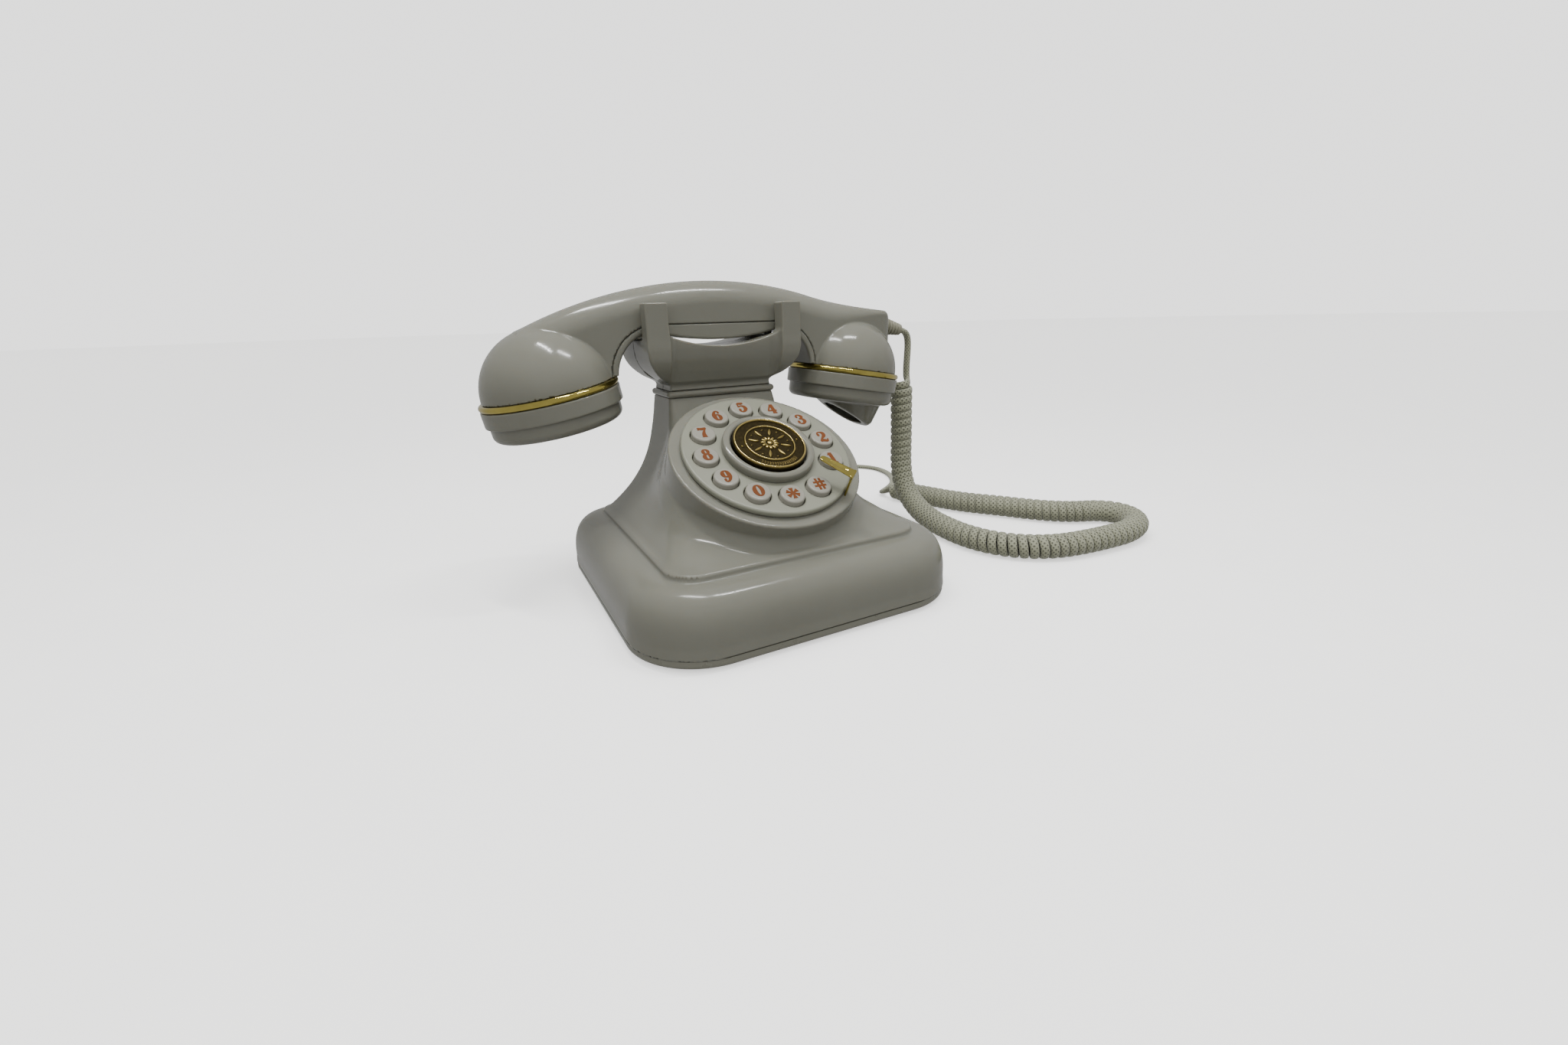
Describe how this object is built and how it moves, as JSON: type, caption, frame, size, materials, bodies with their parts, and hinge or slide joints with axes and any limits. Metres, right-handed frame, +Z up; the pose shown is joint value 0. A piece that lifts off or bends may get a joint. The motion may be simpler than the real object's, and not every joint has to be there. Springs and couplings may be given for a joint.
{
  "type": "corded landline phone",
  "caption": "Corded desk phone in a vintage shape: push buttons in a round sloping dial, flared base, tall cradle, and a handset with a coiled cord.",
  "frame": {"origin": "on the table under the centre of the phone's footprint, with the free cord left out", "axes": "+X to the right as seen from the front, along the handset; +Y towards the back; +Z up"},
  "size_m": [0.3625, 0.264, 0.1511],
  "materials": {
    "ivory_plastic": "gloss, warm ivory, lightly aged",
    "base_plastic": "satin",
    "cream_plastic": "satin cream",
    "polished_gold": "polished gold plating",
    "antique_brass": "antiqued, darkened in the recesses",
    "rubber": "matt",
    "relief_rubber": "satin ivory",
    "steel": "zinc plated",
    "circuit_board": "solder mask",
    "dark_plastic": "fine texture",
    "plunger_plastic": "smooth",
    "clear_plastic": "clear",
    "cord_braid": "fine braided sleeve"
  },
  "bodies": {
    "base": {"base_shell": "ivory_plastic", "base_plate": "base_plastic", "rubber_feet": "rubber", "base_screws": "steel", "neck_collar": "ivory_plastic", "cradle_front": "ivory_plastic", "cradle_rear": "ivory_plastic", "cradle_screws": "steel", "dial_plate": "cream_plastic", "centre_ring": "ivory_plastic", "medallion": "antique_brass", "finger_stop": "polished_gold", "keypad_mat": "rubber", "keypad_board": "circuit_board", "handset_jack": "dark_plastic", "line_jack": "dark_plastic", "ringer_switch_housing": "dark_plastic", "main_board": "circuit_board", "speaker": "dark_plastic", "ballast_plate": "steel", "hook_switch": "dark_plastic", "cord_coil": "cord_braid", "cord_base_tail": "cord_braid", "cord_plug": "clear_plastic"},
    "key_1": {"button_1": "cream_plastic"},
    "key_2": {"button_2": "cream_plastic"},
    "key_3": {"button_3": "cream_plastic"},
    "key_4": {"button_4": "cream_plastic"},
    "key_5": {"button_5": "cream_plastic"},
    "key_6": {"button_6": "cream_plastic"},
    "key_7": {"button_7": "cream_plastic"},
    "key_8": {"button_8": "cream_plastic"},
    "key_9": {"button_9": "cream_plastic"},
    "key_0": {"button_0": "cream_plastic"},
    "key_star": {"button_star": "cream_plastic"},
    "key_hash": {"button_hash": "cream_plastic"},
    "hook": {"hook_yoke": "plunger_plastic"},
    "ringer_slider": {"ringer_knob": "dark_plastic"},
    "handset": {"handset_shell": "ivory_plastic", "handset_grip": "ivory_plastic", "earpiece_ring": "polished_gold", "mouthpiece_ring": "polished_gold", "earpiece_cap": "ivory_plastic", "mouthpiece_cap": "ivory_plastic", "receiver_capsule": "dark_plastic", "microphone_capsule": "dark_plastic", "handset_weight": "steel", "strain_relief": "relief_rubber", "cord_handset_tail": "cord_braid"}
  },
  "joints": [
    {"name": "press_1", "type": "slide", "parent": "base", "child": "key_1", "axis": [0, 0.5105, -0.8599], "range_m": [0, 0.0018], "stiffness_N_per_m": 300, "springref_m": -0.001},
    {"name": "press_2", "type": "slide", "parent": "base", "child": "key_2", "axis": [0, 0.5105, -0.8599], "range_m": [0, 0.0018], "stiffness_N_per_m": 300, "springref_m": -0.001},
    {"name": "press_3", "type": "slide", "parent": "base", "child": "key_3", "axis": [0, 0.5105, -0.8599], "range_m": [0, 0.0018], "stiffness_N_per_m": 300, "springref_m": -0.001},
    {"name": "press_4", "type": "slide", "parent": "base", "child": "key_4", "axis": [0, 0.5105, -0.8599], "range_m": [0, 0.0018], "stiffness_N_per_m": 300, "springref_m": -0.001},
    {"name": "press_5", "type": "slide", "parent": "base", "child": "key_5", "axis": [0, 0.5105, -0.8599], "range_m": [0, 0.0018], "stiffness_N_per_m": 300, "springref_m": -0.001},
    {"name": "press_6", "type": "slide", "parent": "base", "child": "key_6", "axis": [0, 0.5105, -0.8599], "range_m": [0, 0.0018], "stiffness_N_per_m": 300, "springref_m": -0.001},
    {"name": "press_7", "type": "slide", "parent": "base", "child": "key_7", "axis": [0, 0.5105, -0.8599], "range_m": [0, 0.0018], "stiffness_N_per_m": 300, "springref_m": -0.001},
    {"name": "press_8", "type": "slide", "parent": "base", "child": "key_8", "axis": [0, 0.5105, -0.8599], "range_m": [0, 0.0018], "stiffness_N_per_m": 300, "springref_m": -0.001},
    {"name": "press_9", "type": "slide", "parent": "base", "child": "key_9", "axis": [0, 0.5105, -0.8599], "range_m": [0, 0.0018], "stiffness_N_per_m": 300, "springref_m": -0.001},
    {"name": "press_0", "type": "slide", "parent": "base", "child": "key_0", "axis": [0, 0.5105, -0.8599], "range_m": [0, 0.0018], "stiffness_N_per_m": 300, "springref_m": -0.001},
    {"name": "press_star", "type": "slide", "parent": "base", "child": "key_star", "axis": [0, 0.5105, -0.8599], "range_m": [0, 0.0018], "stiffness_N_per_m": 300, "springref_m": -0.001},
    {"name": "press_hash", "type": "slide", "parent": "base", "child": "key_hash", "axis": [0, 0.5105, -0.8599], "range_m": [0, 0.0018], "stiffness_N_per_m": 300, "springref_m": -0.001},
    {"name": "hook_travel", "type": "slide", "parent": "base", "child": "hook", "axis": [0, 0, 1], "range_m": [-0.003, 0], "stiffness_N_per_m": 200, "springref_m": 0.003},
    {"name": "ringer_slide", "type": "slide", "parent": "base", "child": "ringer_slider", "axis": [1, 0, 0], "range_m": [-0.004, 0.004]},
    {"name": "handset_lift", "type": "slide", "parent": "base", "child": "handset", "axis": [0, 0, 1], "range_m": [0, 0.08], "deforming": ["cord_coil"]}
  ]
}
